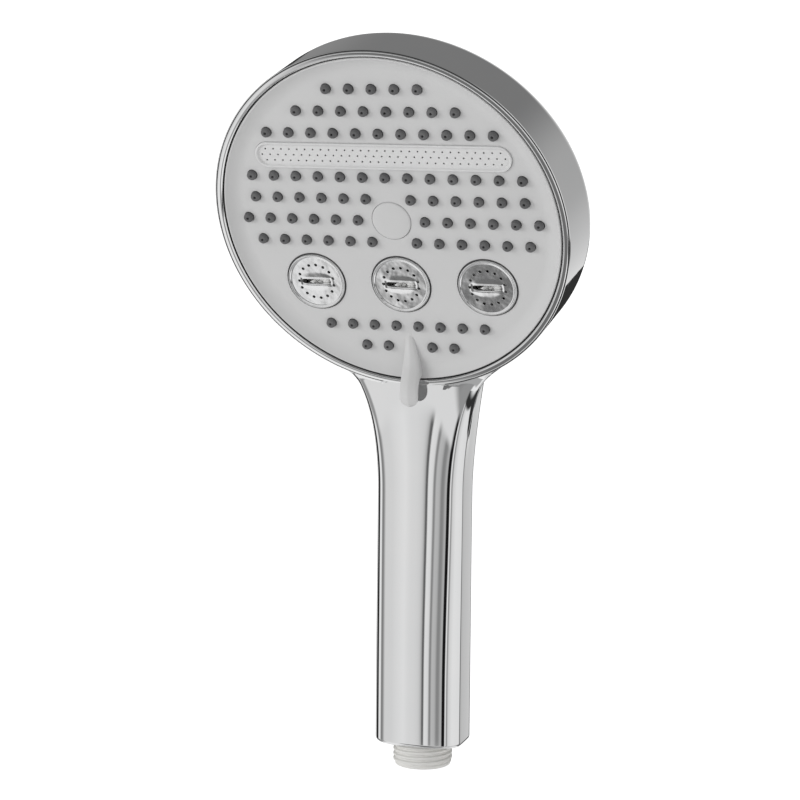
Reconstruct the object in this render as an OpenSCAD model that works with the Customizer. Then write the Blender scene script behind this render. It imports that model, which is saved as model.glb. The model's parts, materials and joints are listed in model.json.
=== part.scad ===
// Handheld shower head: a chromed housing with a turning spray face.
// Origin: centre of the inlet's end face. +Z runs up the handle, -Y is the spray side.

/* [Head] */
// Tilt of the spray face from the handle's axis, degrees
face_tilt = 23.7; // [20:0.1:26]
// Height of the face's centre above the inlet's end
face_h = 193.7; // [190:0.1:200]
// Distance of the face's centre in front of the handle's axis
face_fwd = 37; // [35:0.1:39]
// Radius of the trim ring's outer edge
ring_r = 62.35; // [62:0.05:62.5]
// Largest radius of the housing's wall
wall_r = 62.85; // [62.7:0.05:63.2]
// Rounding of the housing's back edge
back_round = 9.2; // [8.5:0.1:10]
// Depth from the ring's front to the widest point of the wall
back_depth = 21.3; // [20.5:0.1:22]
// Tilt of the housing's back against the face, degrees
back_tilt = 2.8; // [0:0.1:4]
// How far the back sits towards the handle
back_drop = 2.7; // [0:0.1:3]

/* [Handle] */
// Half width of the handle, before its flat sides are cut
grip_a = 16.6; // [16:0.1:17.5]
// Half depth of the handle
grip_b = 12.3; // [12:0.1:13]
// Half width between the flat sides, at their front crease
grip_flat = 15.8; // [15:0.1:16.5]
// Height of the handle's lower edge above the inlet's end
grip_z0 = 8.4; // [8:0.1:9]
// Height at which the handle starts to widen
flare_z = 95; // [90:1:100]
// Extra half width of the neck's front, 50 mm above that height
flare_front = 15.5; // [12:0.1:17]
// Extra half width of the neck's back, 55 mm above that height
flare_back = 5.5; // [4:0.1:7]
// Extra depth of the neck's back where it runs into the head
neck_depth = 4.4; // [3:0.1:4.5]

/* [Spray face] */
// Radius of the faceplate
plate_r = 59.7; // [59.5:0.05:59.8]
// Depth of the flat field below the ring's front
field_z = 2.8; // [2.6:0.1:3.2]
// Spacing of the nozzles in both directions
pitch = 8; // [7.9:0.05:8.05]
// Half width of the rain nozzle's foot
nozzle_r = 1.85; // [1.8:0.05:1.95]
// Half length of the mist insert
mist_l = 45.4; // [44:0.1:46]
// Half width of the mist insert
mist_w = 5.1; // [4.8:0.1:5.3]
// Radius of each massage insert
jet_r = 10.4; // [10:0.1:10.4]
// Distance of the outer massage inserts from the middle one
jet_dx = 31; // [30.5:0.1:31.5]

/* [Water inlet] */
// Major radius of the G 1/2 thread
thread_r = 10.4775; // [10.4775]
// Root radius of the G 1/2 thread
root_r = 9.3157; // [9.3157]
// Pitch of the G 1/2 thread
thread_pitch = 1.814; // [1.814]
// Radius of the inlet's mouth
mouth_r = 7; // [6.5:0.1:7.5]
// Outer radius of the water tube
tube_r = 5.5; // [5.2:0.1:5.6]
// Inner radius of the water tube
tube_bore = 4; // [3.6:0.1:4.2]

/* [Selector] */
// Angle between two spray settings, degrees
step_angle = 30; // [25:1:32]
// Radius of the pivot spindle
spindle_r = 4; // [3.5:0.1:4.2]
// Radial clearance of a running fit
run_gap = 0.05; // [0.03:0.01:0.1]

/* [Hidden] */
eps = 0.01;
fine = 96;
sides = 60;

chrome_grey = [0.80, 0.81, 0.82];
plate_grey = [0.80, 0.80, 0.80];
rubber_grey = [0.36, 0.36, 0.37];
inlet_white = [0.86, 0.85, 0.82];

// Depths below the ring's front, all along the face's axis
plate_back = field_z + 1.8;
mat_top = plate_back + 0.05;
mat_back = mat_top + 0.95;
chamber_top = mat_back + 0.05;
chamber_floor = 7.8;
chamber_back = 9.4;
well_back = 12.5;
flange_back = 12.4;
block_top = 12.9;
arm_z = 18;
base_top = 20.5;
bowl_back = 24;
mouth_depth = 4.1;
skirt_back = 6.5;
hub_top = 6.2;
spindle_top = 6.1;

// Radii about the face's axis
mouth_wall_r = 61.05;
skirt_space_r = 60.1;
bowl_r = 58.6;
bowl_round = 8;
chamber_r = 54.8;
block_r = 17;
base_r = 24;
port_at = 10.5;
ball_at = 14.2;
ball_r = 1.5;
ball_angle = 210;
jet_y = -3 * pitch;
cap_r = 6.9;
well_r = 9.6;
well_wall = 1;
pin_r = 0.8;
screw_at = 20.5;
screw_r = 1.5;

// Handle's hollow and the pieces on its axis
hollow_a = 13.2;
hollow_b = 9.8;
hollow_round = 6;
hollow_top = 152;
lip_y = 64;
lip_depth = 6.5;
plug_top = 14;
tube_top = 131;
socket_z0 = 121;
socket_z1 = 133.5;
socket_bore = tube_r + 0.1;
socket_r = 7.8;
arm_r = 5;
arm_bore = 3.6;
// Where the arm that runs along the face's back crosses the handle's axis
arm_y = (-face_fwd + arm_z * cos(face_tilt)) / sin(face_tilt);
arm_top = face_h + arm_y * cos(face_tilt) + arm_z * sin(face_tilt);

// Places a child in the face's own frame: +Z out of the spray face, +Y up along it.
module on_face() {
    translate([0, -face_fwd, face_h]) rotate([90 + face_tilt, 0, 0]) children();
}

// A disc of radius r from depth z0 down to depth z1 in the face's frame
module disc(r, z0, z1, fn = fine) {
    translate([0, 0, -z1]) cylinder(r = r, h = z1 - z0, $fn = fn);
}

// ---- handle ----

// Distance above the height where the widening starts, in units of 50 mm
function rise(z) = max(0, z - flare_z) / 50;
function widen_front(z) = flare_front * pow(rise(z), 2.6);
function widen_back(z) = flare_back * pow(rise(z - 5), 1.6);
// Goes smoothly from 0 to 1 as t does
function blend(t) = let (c = min(1, max(0, t))) c * c * (3 - 2 * c);
function deepen(z) = neck_depth * blend((z - flare_z + 10) / 66);

// One corner of the handle's section at angle t and height z, drawn in by inset
function grip_point(t, z, inset) =
    let (
        a = grip_a - inset,
        b = grip_b - inset + (t < 180 ? deepen(z) : 0),
        power = 2 / 2.7,
        x = a * pow(abs(cos(t)), power) * sign(cos(t)),
        y = b * pow(abs(sin(t)), power) * sign(sin(t)),
        side = grip_flat - inset - 0.05 * (y + 4),
        flat_x = sign(x) * min(abs(x), side),
        back_share = blend((y + 8) / 15),
        extra = widen_front(z) * (1 - back_share) + widen_back(z) * back_share
    )
    [flat_x * (1 + extra / (grip_flat - 0.9)), y, z];

// Heights of the handle's sections, with how far each one is drawn in
grip_levels = concat(
    [for (k = [0 : 3]) [grip_z0 + 1.4 * (1 - cos(30 * k)), 1.4 * (1 - sin(30 * k))]],
    [[50, 0]],
    [for (z = [flare_z - 10 : 5 : 151]) [z, 0]]);

// A closed solid through rings of equal numbers of points, each anticlockwise from above
module skin(rings) {
    n = len(rings[0]);
    m = len(rings);
    points = [for (r = rings) for (p = r) p];
    walls = [for (j = [0 : m - 2]) for (i = [0 : n - 1])
        [j * n + i, (j + 1) * n + i, (j + 1) * n + (i + 1) % n, j * n + (i + 1) % n]];
    bottom = [for (i = [0 : n - 1]) i];
    top = [for (i = [0 : n - 1]) m * n - 1 - i];
    polyhedron(points, concat([bottom], walls, [top]));
}

module grip_solid() {
    skin([for (l = grip_levels)
        [for (i = [0 : sides - 1]) grip_point(i * 360 / sides, l[0], l[1])]]);
}

// Outline of the handle's hollow
module hollow_outline(gap = 0) {
    a = hollow_a - gap;
    b = hollow_b - gap;
    r = hollow_round;
    square([2 * (a - r), 2 * b], center = true);
    square([2 * a, 2 * (b - r)], center = true);
    for (x = [-1, 1], y = [-1, 1])
        translate([x * (a - r), y * (b - r)]) circle(r = r, $fn = fine);
}

module head_solid() {
    on_face() hull() {
        disc(ring_r + 0.05, 1.15, 1.2, sides);
        disc(wall_r - 0.1, 1.6, 1.7, sides);
        translate([0, -back_drop, -back_depth]) rotate([back_tilt, 0, 0])
            rotate_extrude($fn = sides) intersection() {
                translate([wall_r - back_round, 0]) circle(r = back_round, $fn = 28);
                translate([0, -back_round]) square([wall_r, back_round]);
            }
    }
}

// Everything inside the bowl, as one turned profile
module bowl_space() {
    on_face() rotate_extrude($fn = fine) {
        translate([0, -bowl_back]) square([bowl_r - bowl_round, bowl_back - lip_depth]);
        translate([0, -bowl_back + bowl_round]) square([bowl_r, bowl_back - bowl_round - lip_depth]);
        intersection() {
            translate([bowl_r - bowl_round, -bowl_back + bowl_round])
                circle(r = bowl_round, $fn = fine);
            translate([0, -bowl_back]) square([bowl_r, bowl_round]);
        }
        translate([0, -7.5]) square([skirt_space_r, 7.5]);
        translate([0, -mouth_depth]) square([mouth_wall_r, mouth_depth]);
        translate([0, -1.2]) square([ring_r + 0.05, 12]);
    }
}

module handle_space() {
    difference() {
        translate([0, 0, grip_z0 - 1]) linear_extrude(hollow_top - grip_z0 + 1) hollow_outline();
        on_face() translate([-40, -lip_y, -lip_depth]) cube([80, 60, 80]);
    }
}

module housing() {
    color(chrome_grey) difference() {
        union() {
            head_solid();
            grip_solid();
        }
        bowl_space();
        handle_space();
        on_face() screw_places() disc(screw_r + 0.02, bowl_back - 1, bowl_back + 4.5, 32);
    }
}

module screw_places() {
    for (a = [90, 210, 330]) rotate(a) translate([screw_at, 0, 0]) children();
}

module trim_ring() {
    inner = plate_r + 0.5;
    spigot = mouth_wall_r - 0.05;
    color(chrome_grey) on_face() rotate_extrude($fn = fine) polygon([[inner, -4], [inner, -0.5],
        [inner + 0.45, 0], [ring_r - 0.35, 0], [ring_r, -0.35], [ring_r, -1.15],
        [spigot, -1.15], [spigot, -4]]);
}

// ---- inlet and water tube ----

// Half profile of the threaded end: crests at the major radius with grooves between them
module thread_profile() {
    crest = 0.5;
    count = 4;
    polygon(concat(
        [[0, 0], [root_r, 0]],
        [for (k = [0 : count - 1], q = [0 : 3])
            let (z = 0.7 + k * thread_pitch)
            [[root_r, z], [thread_r, z + 0.45], [thread_r, z + 0.45 + crest],
                [root_r, z + 0.9 + crest]][q]],
        [[root_r, 10], [0, 10]]));
}

module waterway() {
    color(inlet_white) difference() {
        union() {
            rotate_extrude($fn = fine) thread_profile();
            translate([0, 0, 9.6]) linear_extrude(plug_top - 9.6) hollow_outline(0.1);
            translate([0, 0, plug_top - eps]) cylinder(r = tube_r + 2, h = 6, $fn = fine);
            translate([0, 0, plug_top]) cylinder(r = tube_r, h = tube_top - plug_top, $fn = fine);
        }
        translate([0, 0, -1]) cylinder(r = mouth_r, h = 13.5, $fn = fine);
        cylinder(r = tube_bore, h = tube_top + 1, $fn = fine);
        for (z = seal_heights) translate([0, 0, z]) ring_groove(tube_r - 0.9, tube_r + 1, 1.2);
    }
}

seal_heights = [tube_top - 7, tube_top - 3.5];

// A square-sided ring, centred on its height, for cutting a seal's groove
module ring_groove(inner, outer, h) {
    rotate_extrude($fn = fine) translate([inner, -h / 2]) square([outer - inner, h]);
}

module waterway_o_rings() {
    wire = 0.48;
    color("black") for (z = seal_heights) translate([0, 0, z]) rotate_extrude($fn = fine)
        translate([socket_bore - wire - 0.02, 0]) circle(r = wire, $fn = 24);
}

module flow_restrictor() {
    color("green") difference() {
        translate([0, 0, 9.4]) cylinder(r = mouth_r - 0.05, h = 3, $fn = fine);
        translate([0, 0, 9]) cylinder(r = 2.4, h = 4, $fn = 32);
        for (a = [0 : 45 : 315]) rotate(a) translate([4.7, 0, 9]) cylinder(r = 0.9, h = 4, $fn = 24);
    }
}

// Shallow sieve that keeps grit out of the restrictor
module inlet_screen() {
    rim = mouth_r - 0.05;
    color("silver") translate([0, 0, 7.8]) union() {
        difference() {
            cylinder(r = rim, h = 1.4, $fn = fine);
            translate([0, 0, -1]) cylinder(r = rim - 1, h = 4, $fn = fine);
        }
        intersection() {
            cylinder(r = rim - 0.5, h = 0.5, $fn = fine);
            for (k = [-3 : 3]) {
                translate([k * 1.7 - 0.25, -rim, 0]) cube([0.5, 2 * rim, 0.5]);
                translate([-rim, k * 1.7 - 0.25, 0]) cube([2 * rim, 0.5, 0.5]);
            }
        }
    }
}

// ---- fixed water block behind the spray face ----

module manifold() {
    color(inlet_white) difference() {
        union() {
            on_face() {
                disc(block_r, block_top, base_top + 1);
                disc(base_r, base_top, bowl_back - 0.05);
                translate([0, arm_y, -arm_z]) rotate([-90, 0, 0])
                    cylinder(r = arm_r, h = -arm_y, $fn = fine);
                translate([0, arm_y, -arm_z]) sphere(r = arm_r, $fn = fine);
            }
            translate([0, 0, socket_z1 - 1])
                cylinder(r = arm_r, h = arm_top - socket_z1 + 1, $fn = fine);
            translate([0, 0, socket_z0]) cylinder(r = socket_r, h = socket_z1 - socket_z0 + 2, $fn = fine);
        }
        translate([0, 0, socket_z0 - 1]) cylinder(r = socket_bore, h = socket_z1 - socket_z0 + 1, $fn = fine);
        translate([0, 0, socket_z1 - 1])
            cylinder(r = arm_bore, h = arm_top - socket_z1 + 1, $fn = fine);
        on_face() {
            translate([0, arm_y, -arm_z]) sphere(r = arm_bore, $fn = fine);
            translate([0, arm_y, -arm_z]) rotate([-90, 0, 0])
                cylinder(r = arm_bore, h = -arm_y - 8, $fn = fine);
            // ring passage round the spindle, up to the outlet port
            rotate_extrude($fn = fine) translate([5, -base_top]) square([6.5, 3]);
            translate([0, port_at, 0]) {
                disc(4.2, block_top - 1, 17.4);
                disc(2.2, 17, 19);
            }
            ball_place() disc(ball_r + run_gap, block_top - 1, 18, 48);
            disc(3, block_top - 1, 22.5);
            screw_places() disc(screw_r + 0.1, base_top - 1, bowl_back + 1, 32);
        }
    }
}

module ball_place() {
    rotate(ball_angle) translate([ball_at, 0, 0]) children();
}

// Three pan-head screws that hold the block to the housing's back
module manifold_screws() {
    color("silver") on_face() screw_places() difference() {
        union() {
            disc(2.8, base_top - 1.9, base_top - 0.02, 48);
            disc(screw_r, base_top - 0.5, bowl_back + 4.2, 32);
        }
        cross_recess(base_top - 1.9, 1.2);
    }
}

// Cross recess cut down from depth z into a screw's head
module cross_recess(z, deep) {
    for (a = [0, 90]) rotate(a) translate([-1.5, -0.3, -z - deep]) cube([3, 0.6, deep + 1]);
}

module pivot_spindle() {
    color("gold") on_face() difference() {
        union() {
            disc(spindle_r, spindle_top, block_top - 0.02);
            disc(2.98, block_top - 1, 22.4);
        }
        disc(1.25, spindle_top - 1, 16, 32);
        translate([0, 0, -11]) ring_groove(spindle_r - 0.88, spindle_r + 1, 1.1);
    }
}

module spindle_o_ring() {
    wire = 0.42;
    color("black") on_face() translate([0, 0, -11]) rotate_extrude($fn = fine)
        translate([spindle_r + run_gap - wire - 0.02, 0]) circle(r = wire, $fn = 24);
}

// Rubber cup pressed against the turning plate round the outlet port
module port_seal() {
    color("dimgray") on_face() translate([0, port_at, 0]) difference() {
        union() {
            disc(4.1, block_top - 0.1, 15.4);
            disc(3.3, flange_back + 0.1, block_top);
        }
        disc(2.2, flange_back - 1, 16);
    }
}

// A compression spring about the face's axis from depth z0 down to depth z1
module coil(mid_r, wire, turns, z0, z1) {
    steps = turns * 14;
    rings = [for (j = [0 : steps])
        let (a = j * 360 / 14, z = -z1 + wire + (z1 - z0 - 2 * wire) * j / steps)
        [for (i = [0 : 7]) let (q = -i * 45, r = mid_r + wire * cos(q))
            [r * cos(a), r * sin(a), z + wire * sin(q)]]];
    skin(rings);
}

module port_spring() {
    color("silver") on_face() translate([0, port_at, 0]) coil(3.2, 0.3, 2, 15.45, 17.35);
}

module detent_ball() {
    color("silver") on_face() ball_place() translate([0, 0, -block_top - 0.2])
        sphere(r = ball_r, $fn = 48);
}

module detent_spring() {
    color("silver") on_face() ball_place()
        coil(1.1, 0.2, 3, block_top + 0.2 + ball_r + 0.02, 17.95);
}

// ---- turning spray face ----

// Places of the rain nozzles: each row is [height in pitches, first column, last column]
nozzle_rows = [
    [6, -2, 2], [5, -3.5, 3.5], [4, -5, 5], [2, -6, 6],
    [1, -6, -1], [1, 1, 6], [0, -6.5, -1.5], [0, 1.5, 6.5], [-1, -6, -1], [-1, 1, 6],
    [-5, -3.5, 3.5], [-6, -2, -1], [-6, 1, 2]];
nozzle_places = [for (r = nozzle_rows) for (x = [r[1] : r[2]]) [x * pitch, r[0] * pitch]];

module at_nozzles() {
    for (p = nozzle_places) translate(p) children();
}

module at_jets() {
    for (x = [-1, 0, 1]) translate([x * jet_dx, jet_y]) children();
}

// Stadium outline of the mist insert, in the face's plane
module mist_outline(grow = 0) {
    translate([0, 3 * pitch]) {
        square([2 * (mist_l - mist_w), 2 * (mist_w + grow)], center = true);
        for (x = [-1, 1]) translate([x * (mist_l - mist_w), 0]) circle(r = mist_w + grow, $fn = 64);
    }
}

// Half profile of the faceplate: a flat field with an edge that curves up to the ring
module plate_profile() {
    rise_w = 5.8;
    rise_h = field_z - 0.5;
    polygon(concat(
        [[0, -plate_back], [0, -field_z]],
        [for (k = [0 : 8]) [plate_r - 0.5 - rise_w * (1 - k / 8), -field_z + rise_h * pow(k / 8, 2.2)]],
        [[plate_r, -0.75], [plate_r, -skirt_back], [plate_r - 1.6, -skirt_back],
            [plate_r - 1.6, -plate_back]]));
}

// Side view of the lever in the face's frame, as [distance up the face, height off it]
module lever_side() {
    polygon([[-43.5, -field_z - 0.5], [-43.5, -field_z], [-45, -1.7], [-48, -0.9], [-51.5, 0.1],
        [-54.3, 1.5], [-56.8, 3.6], [-58.6, 5.1], [-60.4, 6.3], [-62.4, 7.15], [-64.4, 7.5],
        [-66.2, 7.45], [-66.8, 7.1], [-66.9, 6.6], [-66.6, 6.1], [-64.6, 5.9], [-62.8, 5.4],
        [-61, 4.4], [-59.6, 3.1], [-58.7, 1.5], [-58.4, -0.2], [-58.2, -field_z - 0.5]]);
}

module lever_plan() {
    translate([0, -63.6]) circle(r = 3.3, $fn = 64);
    polygon([[-1.4, -43], [1.4, -43], [2.1, -48], [2.55, -51.6], [3.05, -54.3], [3.2, -57],
        [3.3, -63.6], [-3.3, -63.6], [-3.2, -57], [-3.05, -54.3], [-2.55, -51.6], [-2.1, -48]]);
}

module lever() {
    intersection() {
        translate([-4, 0, 0]) rotate([90, 0, 90]) linear_extrude(8) lever_side();
        translate([0, 0, -6]) linear_extrude(20) lever_plan();
    }
}

module faceplate() {
    color(plate_grey) on_face() union() {
        difference() {
            rotate_extrude($fn = fine) plate_profile();
            translate([0, 0, -plate_back - 1]) linear_extrude(field_z + 2) {
                at_nozzles() circle(r = nozzle_r + 0.05, $fn = 32);
                at_jets() circle(r = jet_r + 0.1, $fn = fine);
                mist_outline(0.1);
                circle(r = cap_r + 0.1, $fn = fine);
            }
        }
        lever();
    }
}

// One soft nozzle, from the sheet up through the plate
module nozzle() {
    rotate_extrude($fn = 32) polygon([[0.4, -mat_back], [nozzle_r, -mat_back], [nozzle_r, -field_z],
        [nozzle_r - 0.05, -field_z + 0.6], [1.5, -field_z + 1.5], [1.05, -field_z + 2], [0.4, -field_z + 2]]);
}

module nozzle_mat() {
    color(rubber_grey) on_face() union() {
        translate([0, 0, -mat_back]) linear_extrude(mat_back - mat_top) difference() {
            circle(r = plate_r - 1.9, $fn = fine);
            at_nozzles() circle(r = 0.4, $fn = 32);
            at_jets() circle(r = jet_r + 0.3, $fn = fine);
            mist_outline(0.3);
            circle(r = cap_r + 0.3, $fn = fine);
        }
        at_nozzles() nozzle();
    }
}

// Ring-shaped wall round each massage jet's turbine
module well_walls() {
    at_jets() difference() {
        disc(well_r, chamber_top, well_back);
        disc(well_r - well_wall, chamber_top - 1, well_back - 1.2);
    }
}

module chamber_plate() {
    color("whitesmoke") on_face() difference() {
        union() {
            disc(chamber_r, chamber_floor, chamber_back);
            difference() {
                disc(plate_r - 1.8, chamber_top, chamber_floor + 0.4);
                disc(chamber_r - 1.2, chamber_top - 1, chamber_floor + 1);
            }
            disc(block_r - 0.1, chamber_back - 0.5, flange_back);
            disc(6.4, hub_top, chamber_back);
            well_walls();
            translate([0, 0, -chamber_back + 0.5]) linear_extrude(chamber_back - 0.5 - chamber_top)
                difference() {
                    mist_outline(1.4);
                    mist_outline(0.2);
                }
            for (x = [-1, 1]) translate([x * 6 - 0.5, 9, -chamber_floor - 0.5])
                cube([1, 9.5, chamber_floor + 0.5 - chamber_top]);
        }
        at_jets() disc(well_r - well_wall, chamber_top - 1, well_back - 1.2);
        disc(spindle_r + run_gap, hub_top - 1, flange_back + 1);
        for (a = [-step_angle, 0, step_angle]) {
            rotate(a) translate([0, port_at, 0]) disc(2, chamber_floor - 1, flange_back + 1, 48);
            rotate(a) ball_place() translate([0, 0, -block_top - 0.2]) sphere(r = ball_r + 0.35, $fn = 48);
        }
        // track that the detent ball follows between its stops
        translate([0, 0, -flange_back - 1]) rotate(ball_angle - step_angle)
            rotate_extrude(angle = 2 * step_angle, $fn = fine)
            translate([ball_at - 1.35, 0]) square([2.7, 1.9]);
        at_jets() disc(pin_r + 0.02, well_back - 2, well_back - 0.5, 32);
    }
}

module mist_insert() {
    hole_gap = 2.87;
    color("lightgray") on_face() union() {
        translate([0, 0, -plate_back - 1.1]) linear_extrude(plate_back + 1.1 - field_z - 0.05) difference() {
            mist_outline();
            translate([0, 3 * pitch]) for (j = [-1, 0, 1]) let (shift = j == 0 ? 0 : 0.5)
                for (i = [-15 : 15 - 2 * shift]) translate([(i + shift) * hole_gap, j * 2.3])
                    circle(r = 0.3, $fn = 16);
        }
        translate([0, 0, -field_z - 0.1]) linear_extrude(0.75) difference() {
            mist_outline();
            mist_outline(-1);
        }
    }
}

// Chromed cup with a ring of small jets round a slot
module massage_insert() {
    top = field_z - 0.45;
    dish = field_z + 0.7;
    back = chamber_top + 0.5;
    difference() {
        union() {
            rotate_extrude($fn = fine) polygon([[0, -dish - 1], [0, -dish], [7.6, -dish], [8.3, -dish + 0.35],
                [8.7, -top - 0.15], [9, -top], [9.7, -top], [10.1, -top - 0.2], [jet_r, -top - 0.9],
                [jet_r, -mat_top], [9.3, -mat_top], [9.3, -dish - 1]]);
            for (y = [-1, 1]) translate([-5.4, y * 1.15 - 0.3, -dish - 0.2]) cube([10.8, 0.6, 1]);
        }
        translate([-5, -0.85, -dish - 2]) cube([10, 1.7, 4]);
        for (k = [0 : 14]) rotate(k * 24 + 12) translate([6.4, 0, 0]) disc(0.45, dish - 1, back, 24);
    }
}

module massage_insert_left() {
    color("silver") on_face() translate([-jet_dx, jet_y, 0]) massage_insert();
}

module massage_insert_middle() {
    color("silver") on_face() translate([0, jet_y, 0]) massage_insert();
}

module massage_insert_right() {
    color("silver") on_face() translate([jet_dx, jet_y, 0]) massage_insert();
}

// Bladed wheel that makes the massage jets pulse
module turbine() {
    top = chamber_top + 0.9;
    back = well_back - 1.6;
    difference() {
        union() {
            disc(1.8, top, back, 48);
            disc(7.6, back - 0.8, back, 64);
            for (a = [0 : 45 : 315]) rotate(a) translate([1, -0.4, -back]) cube([6.4, 0.8, back - top - 0.6]);
        }
        disc(pin_r + run_gap, top - 1, back + 1, 32);
        rotate(22) translate([4.6, 0, 0]) disc(1.6, back - 1, back + 1, 32);
    }
}

module turbine_left() {
    color("orange") on_face() translate([-jet_dx, jet_y, 0]) turbine();
}

module turbine_middle() {
    color("orange") on_face() translate([0, jet_y, 0]) turbine();
}

module turbine_right() {
    color("orange") on_face() translate([jet_dx, jet_y, 0]) turbine();
}

module turbine_pins() {
    color("silver") on_face() at_jets() disc(pin_r, chamber_top + 0.4, well_back - 0.55, 32);
}

module pivot_washer() {
    color("silver") on_face() difference() {
        disc(6, spindle_top - 0.82, spindle_top - 0.02, 64);
        disc(1.6, spindle_top - 2, spindle_top + 1, 32);
    }
}

module pivot_screw() {
    head_top = spindle_top - 2.1;
    color("silver") on_face() difference() {
        union() {
            disc(3.2, head_top, spindle_top - 0.84, 48);
            disc(1.23, spindle_top - 1, 14, 32);
        }
        cross_recess(head_top, 0.8);
    }
}

module centre_cap() {
    top = field_z - 0.35;
    color(plate_grey) on_face() rotate_extrude($fn = fine) polygon([[0, -top - 1], [0, -top],
        [cap_r - 0.4, -top], [cap_r, -top - 0.3], [cap_r, -plate_back], [cap_r - 0.8, -plate_back],
        [cap_r - 0.8, -top - 1]]);
}

housing();
trim_ring();
waterway();
waterway_o_rings();
flow_restrictor();
inlet_screen();
manifold();
manifold_screws();
pivot_spindle();
spindle_o_ring();
port_seal();
port_spring();
detent_ball();
detent_spring();
faceplate();
nozzle_mat();
chamber_plate();
mist_insert();
massage_insert_left();
massage_insert_middle();
massage_insert_right();
turbine_left();
turbine_middle();
turbine_right();
turbine_pins();
pivot_washer();
pivot_screw();
centre_cap();
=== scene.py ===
"""Handheld shower head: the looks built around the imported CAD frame. Lengths are in mm until a piece is placed."""
import json
import math

import bmesh
import bpy
import numpy as np
from mathutils import Matrix, Vector


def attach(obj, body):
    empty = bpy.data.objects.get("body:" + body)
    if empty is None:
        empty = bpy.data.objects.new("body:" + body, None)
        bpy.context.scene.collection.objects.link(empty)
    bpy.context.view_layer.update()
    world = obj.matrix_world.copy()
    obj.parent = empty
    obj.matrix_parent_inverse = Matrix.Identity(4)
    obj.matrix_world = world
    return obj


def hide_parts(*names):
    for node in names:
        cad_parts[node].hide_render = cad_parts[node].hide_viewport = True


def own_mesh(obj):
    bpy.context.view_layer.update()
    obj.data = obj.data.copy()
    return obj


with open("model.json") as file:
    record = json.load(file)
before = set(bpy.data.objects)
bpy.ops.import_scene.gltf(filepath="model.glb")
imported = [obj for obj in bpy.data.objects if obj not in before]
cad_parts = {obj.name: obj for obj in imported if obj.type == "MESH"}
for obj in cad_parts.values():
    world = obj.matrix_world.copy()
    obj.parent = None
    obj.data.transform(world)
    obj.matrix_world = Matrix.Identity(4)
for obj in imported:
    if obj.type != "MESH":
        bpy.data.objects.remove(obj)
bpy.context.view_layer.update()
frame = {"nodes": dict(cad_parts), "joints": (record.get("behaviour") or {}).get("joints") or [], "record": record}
SLOTS = {s["node"]: s["material_slot"] for s in frame["record"]["subparts"]}

# The face's own frame: +Z out of the spray face, +Y up along it, its origin on the turning joint
turn = next(j for j in frame["joints"] if j["name"] == "face_turn")
AXIS = np.array(turn["axis"], float)
ACROSS = np.array([1.0, 0.0, 0.0])
UP = np.cross(AXIS, ACROSS)
CENTRE = np.array(turn["pos_m"], float) * 1000
FACE = np.array([ACROSS, UP, AXIS])  # rows: the face frame's axes in the row frame
MM = 0.001  # metres


def to_row(points):
    """Points of the face's frame in the row frame, in mm."""
    return CENTRE + np.asarray(points, float) @ FACE


def to_face(points):
    """Points of the row frame in the face's frame, in mm."""
    return (np.asarray(points, float) - CENTRE) @ FACE.T


def face_matrix(scale=1.0):
    """The matrix from the face's frame to the row frame."""
    return Matrix([(*FACE.T[i] * scale, CENTRE[i] * scale) for i in range(3)] + [(0, 0, 0, 1)])


# ---------------------------------------------------------------- materials

def nodes_of(name):
    """A new material with its node tree and its shader."""
    mat = bpy.data.materials.new(name)
    mat.use_nodes = True
    tree = mat.node_tree
    return mat, tree, tree.nodes["Principled BSDF"]


def add(tree, kind, inputs=None, **props):
    """A new node with the given properties and input values."""
    node = tree.nodes.new(kind)
    for key, value in props.items():
        setattr(node, key, value)
    for key, value in (inputs or {}).items():
        node.inputs[key].default_value = value
    return node


def noise(tree, scale, detail=3.0, roughness=0.5, stretch=None):
    """Noise in the object's own metres, stretched along its axes if asked."""
    coords = add(tree, "ShaderNodeTexCoord")
    source = coords.outputs["Object"]
    if stretch:
        mapping = add(tree, "ShaderNodeMapping", {"Scale": stretch})
        tree.links.new(source, mapping.inputs["Vector"])
        source = mapping.outputs["Vector"]
    tex = add(tree, "ShaderNodeTexNoise", {"Scale": scale, "Detail": detail, "Roughness": roughness})
    tree.links.new(source, tex.inputs["Vector"])
    return tex.outputs["Fac"]


def ramp(tree, fac, stops):
    """A colour ramp: stops are (position, grey or colour)."""
    node = add(tree, "ShaderNodeValToRGB")
    while len(node.color_ramp.elements) < len(stops):
        node.color_ramp.elements.new(0.5)
    for element, (at, value) in zip(node.color_ramp.elements, stops):
        element.position = at
        element.color = (*value, 1) if isinstance(value, tuple) else (value, value, value, 1)
    tree.links.new(fac, node.inputs["Fac"])
    return node.outputs["Color"]


def spread(tree, fac, low, high):
    """Noise spread over a range of values."""
    node = add(tree, "ShaderNodeMapRange", {"From Min": 0.3, "From Max": 0.7, "To Min": low, "To Max": high})
    tree.links.new(fac, node.inputs["Value"])
    return node.outputs["Result"]


def bump(tree, bsdf, height, strength, distance):
    """Lets a height tilt the shader's normal; distance is its scale in metres."""
    node = add(tree, "ShaderNodeBump", {"Strength": strength, "Distance": distance})
    tree.links.new(height, node.inputs["Height"])
    tree.links.new(node.outputs["Normal"], bsdf.inputs["Normal"])


def chrome(name, smooth, rough, wave=0.0002, ripple=90, strength=0.02):
    """Chrome plate: bright, with the faint unevenness of the moulding under it."""
    mat, tree, bsdf = nodes_of(name)
    bsdf.inputs["Metallic"].default_value = 1.0
    tint = ramp(tree, noise(tree, 60, 4), [(0.3, (0.905, 0.91, 0.915)), (0.7, (0.925, 0.925, 0.925))])
    tree.links.new(tint, bsdf.inputs["Base Color"])
    tree.links.new(spread(tree, noise(tree, 240, 5, 0.6), smooth, rough), bsdf.inputs["Roughness"])
    bump(tree, bsdf, noise(tree, ripple, 2), strength, wave)
    return mat


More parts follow.
